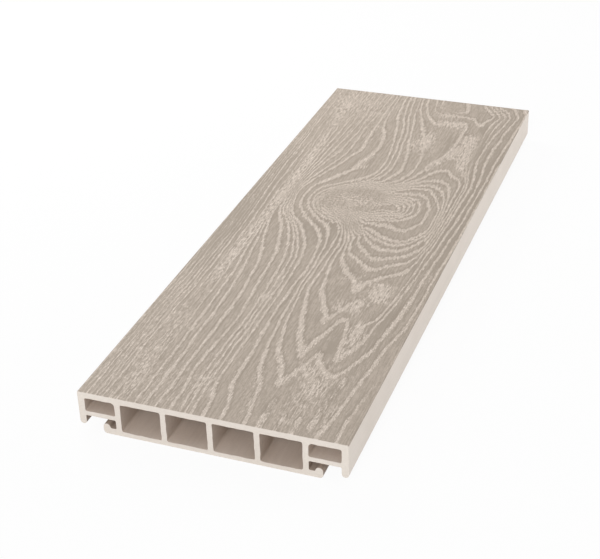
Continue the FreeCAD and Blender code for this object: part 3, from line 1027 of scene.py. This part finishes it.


# The grained deck: ground that drifts between two colours with the streaks, thin dark edges of
# painted shade over it, then the bands. A band goes from the ground's colour at its weakest dashes
# through the line's colour to the fleck's at its brightest.
def grainedDeck(f):
    material, place = newMaterial("grained_deck")
    tree = material.node_tree
    streaks = addNode(tree, "ShaderNodeGroup", node_tree=grainStreaks)
    painted = {"Ring": "ringNumber", "Gap": "ringGap", "Crossing": "crossing", "Strength": "streakStrength",
               "Paleness": "paleness", "Streakiness": "streakiness", "Mottle": "mottle"}
    for label, name in painted.items():
        attribute = addNode(tree, "ShaderNodeAttribute", attribute_name=name).outputs["Fac"]
        feed(tree, streaks.inputs[label], attribute)
    settings = {"Place": place, "Base Width": f["baseWidth"], "Share Of Gap": f["shareOfGap"],
                "Widen": f["widen"], "Waver": f["waver"], "Comb": f["comb"]}
    for label, value in settings.items():
        feed(tree, streaks.inputs[label], value)
    band, bright, reliefShade, drift = streaks.outputs[:4]
    dark, light = colour(*f["groundDark"]), colour(*f["ground"])
    ground = mixColours(tree, eased(tree, drift, *f["driftStep"]), dark, light)
    # painted shade: the ground goes dark beside the bands and between the dashes
    ground = mixColours(tree, times(tree, reliefShade, f["reliefShadeAmount"]), ground, colour(*f["reliefShade"]))
    lit = mixColours(tree, eased(tree, bright, *f["fleckStep"]), colour(*f["line"]), colour(*f["fleck"]))
    lit = mixColours(tree, eased(tree, bright, *f["weakStep"]), lit, light)
    color = mixColours(tree, band, ground, lit)
    roughness = eased(tree, band, 0.0, 1.0, f["roughness"], f["roughness"] - f["polish"])
    height = calc(tree, "ADD", band, times(tree, drift, f["driftHeight"]))
    height = calc(tree, "SUBTRACT", height, times(tree, reliefShade, f["edgeDepth"]))
    finishSurface(tree, color, roughness, height, f["bump"], f["bumpHeight"])
    return material


plainBump = {
    "strength": 0.4,
    "tallest": 1.4,  # height of the drift group at its highest
    "swing": 0.05,  # how far the roughness goes to each side of the material's own
}


# A smooth plastic: the drift group between its two colours, then a fine bump, with the surface
# smoother where it is higher.
def plainPlastic(name, f, bump):
    material, place = newMaterial(name)
    tree = material.node_tree
    drift = addNode(tree, "ShaderNodeGroup", node_tree=plasticDrift)
    settings = {"Place": place, "Color": colour(*f["color"]), "Darker": colour(*f["darker"]),
                "Patches": f["patches"], "Lines": f["lines"], "Speckle": f["speckle"],
                "Stretch": f["stretch"]}
    for label, value in settings.items():
        feed(tree, drift.inputs[label], value)
    color, height = drift.outputs[:2]
    rough, polished = f["roughness"] + bump["swing"], f["roughness"] - bump["swing"]
    roughness = eased(tree, height, 0.0, bump["tallest"], rough, polished)
    finishSurface(tree, color, roughness, height, bump["strength"], f["bumpHeight"])
    return material


# in the order of their material numbers
board.data.materials.append(grainedDeck(deckFinish))
for name, values in plainFinishes.items():
    board.data.materials.append(plainPlastic(name, values, plainBump))
print("materials made")

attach(board, "root")
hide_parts("deck_board")

studio = {
    "floorSize": 12.0,  # metres
    "floorColor": (0.86, 0.86, 0.86, 1),
    "floorShown": 0.94,  # how much of the floor's look is plain white, the rest takes the shadow
    "world": 0.52,
    # each lamp: place and aim in metres, size across in metres, power in watts
    "lamps": {
        "topLamp": ((-0.5, 0.34, 0.45), (-0.04, 0.08, 0), 0.45, 2.4),
        "frontLamp": ((0.12, -1.9, 1.05), (0, 0, 0), 0.9, 19.0),
        "sideLamp": ((1.2, 0.9, 0.35), (0, 0, 0), 0.7, 6.0),
    },
}


# 1 for rays that come from the camera or off a shiny or clear surface, else 0.
def seenRays(tree):
    rays = addNode(tree, "ShaderNodeLightPath").outputs
    mirrored = calc(tree, "MAXIMUM", rays["Is Glossy Ray"], rays["Is Transmission Ray"])
    return calc(tree, "MAXIMUM", rays["Is Camera Ray"], mirrored)


# The floor's colour is the diffuse one, mixed with plain white for rays that see it.
def paleFloor(s):
    material = bpy.data.materials.new("pale_floor")
    material.use_nodes = True
    tree = material.node_tree
    tree.nodes.clear()
    shown = times(tree, seenRays(tree), s["floorShown"])
    diffuse = addNode(tree, "ShaderNodeBsdfDiffuse", {"Color": s["floorColor"]}).outputs[0]
    white = addNode(tree, "ShaderNodeEmission", {"Color": (1, 1, 1, 1), "Strength": 1.0}).outputs[0]
    both = addNode(tree, "ShaderNodeMixShader", {0: shown, 1: diffuse, 2: white}).outputs[0]
    addNode(tree, "ShaderNodeOutputMaterial", {"Surface": both})
    return material


# Floor, world and lamps. The world is white to rays that see it, and lights with its own
# strength: seen * (1 - strength) + strength.
def makeStudio(s):
    half = s["floorSize"] / 2
    mesh = bpy.data.meshes.new("floor")
    corners = [(-half, -half, 0), (half, -half, 0), (half, half, 0), (-half, half, 0)]
    mesh.from_pydata(corners, [], [(0, 1, 2, 3)])
    mesh.materials.append(paleFloor(s))
    floor = bpy.data.objects.new("floor", mesh)
    bpy.context.collection.objects.link(floor)

    world = bpy.data.worlds.new("studio")
    bpy.context.scene.world = world
    world.use_nodes = True
    tree = world.node_tree
    tree.nodes.clear()
    strength = calc(tree, "ADD", times(tree, seenRays(tree), 1.0 - s["world"]), s["world"])
    glow = addNode(tree, "ShaderNodeBackground", {"Color": (1, 1, 1, 1), "Strength": strength}).outputs[0]
    addNode(tree, "ShaderNodeOutputWorld", {"Surface": glow})

    for name, (place, aim, size, power) in s["lamps"].items():
        data = bpy.data.lights.new(name, "AREA")
        data.shape = "DISK"
        data.size = size
        data.energy = power
        lamp = bpy.data.objects.new(name, data)
        lamp.location = place
        lamp.rotation_euler = (Vector(aim) - Vector(place)).to_track_quat("-Z", "Y").to_euler()
        bpy.context.collection.objects.link(lamp)


makeStudio(studio)
bpy.context.scene.view_settings.view_transform = "Standard"
print("studio lit")
